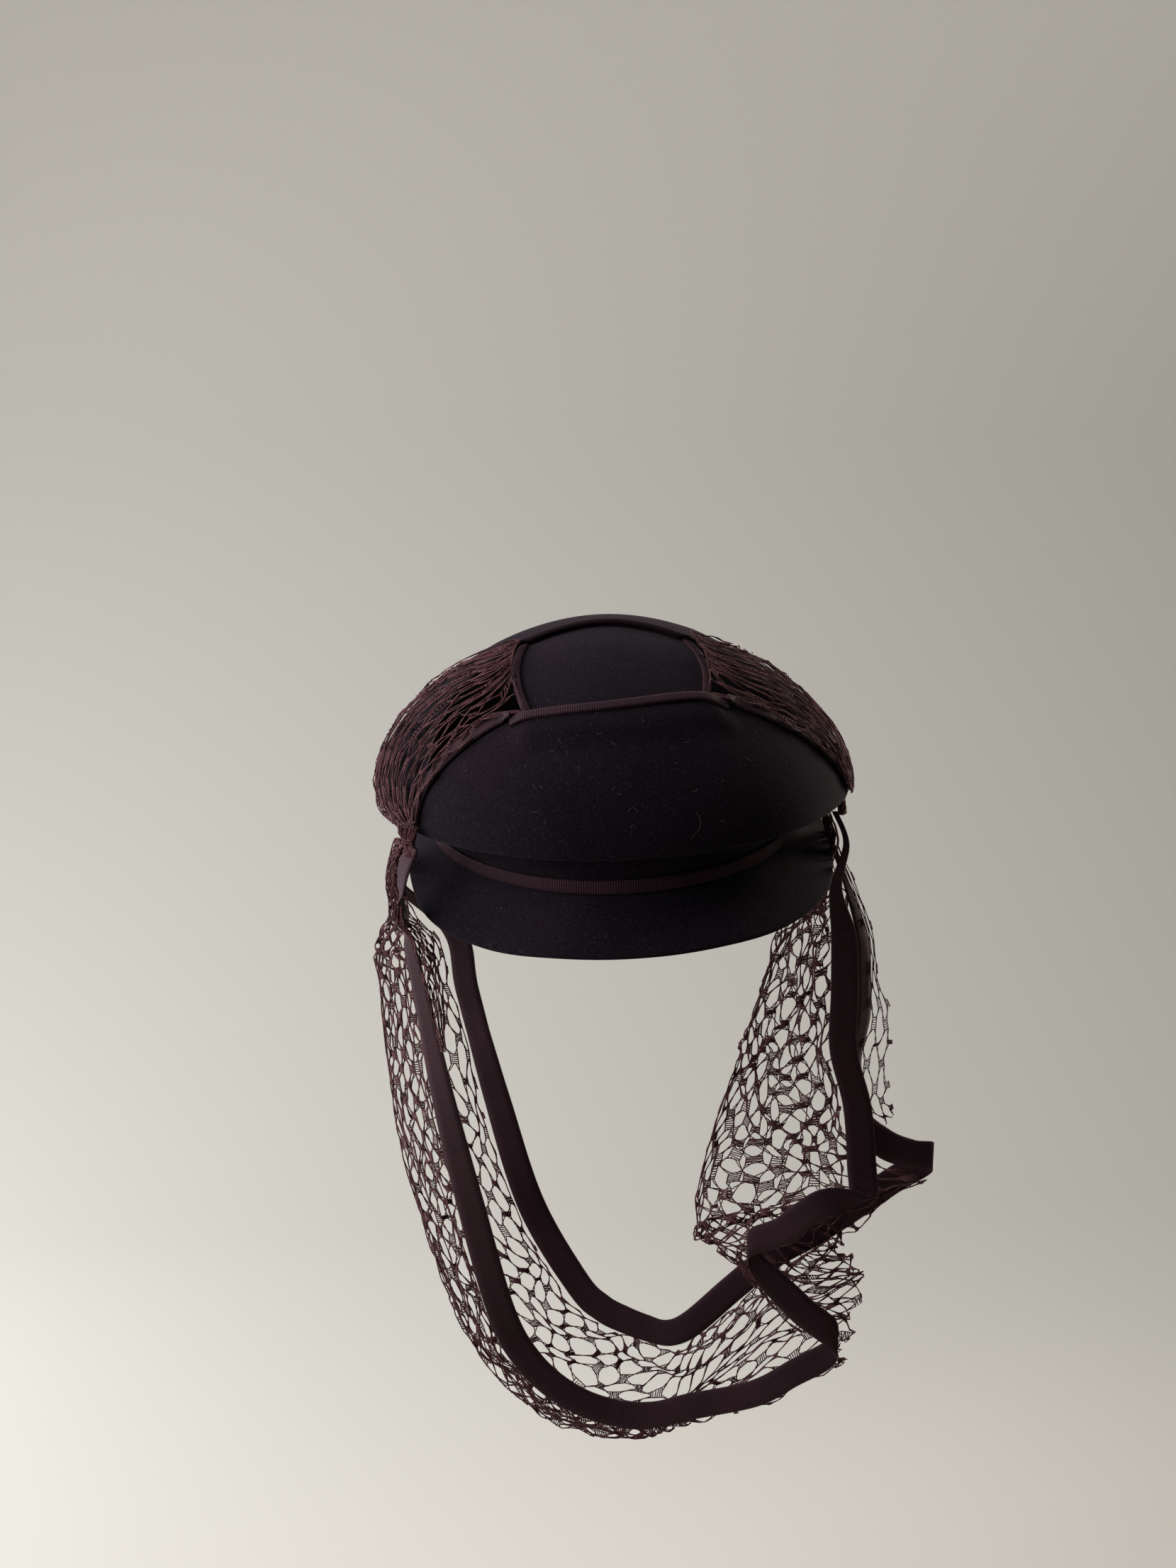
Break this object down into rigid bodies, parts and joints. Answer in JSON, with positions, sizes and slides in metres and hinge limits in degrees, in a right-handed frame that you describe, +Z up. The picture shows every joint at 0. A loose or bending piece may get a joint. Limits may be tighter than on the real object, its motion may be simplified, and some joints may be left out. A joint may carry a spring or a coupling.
{
  "type": "visored pillbox hat with net veil",
  "caption": "Dark felt hat with a low puffed crown, a turned-down visor brim, ribbon bindings and a long net veil edged with ribbon, as worn.",
  "frame": {"origin": "inside the head opening, level with the band's lower edge, where a head holds the hat", "axes": "+Z up, -Y the way the wearer looks, +X the wearer's left; the hat sits tilted forward and to the wearer's right, and the veil hangs along -Z"},
  "size_m": [0.2798, 0.2147, 0.4396],
  "materials": {
    "felt": "matt wool felt",
    "petersham": "ribbed ribbon, slight sheen",
    "net": "open thread net"
  },
  "bodies": {
    "root": {"front_crescent": "felt", "back_crown": "felt", "centre_panel": "felt", "crown_base": "felt", "brim": "felt", "crescent_binding": "petersham", "panel_binding_right": "petersham", "panel_binding_left": "petersham", "ridge_roll": "petersham", "hatband": "petersham", "crown_ribbon_right": "petersham", "crown_ribbon_left": "petersham", "veil_ribbon_front": "petersham", "veil_ribbon_back": "petersham", "crown_net_right": "net", "crown_net_left": "net", "gather_right": "net", "gather_left": "net", "veil_net": "net"}
  },
  "joints": []
}
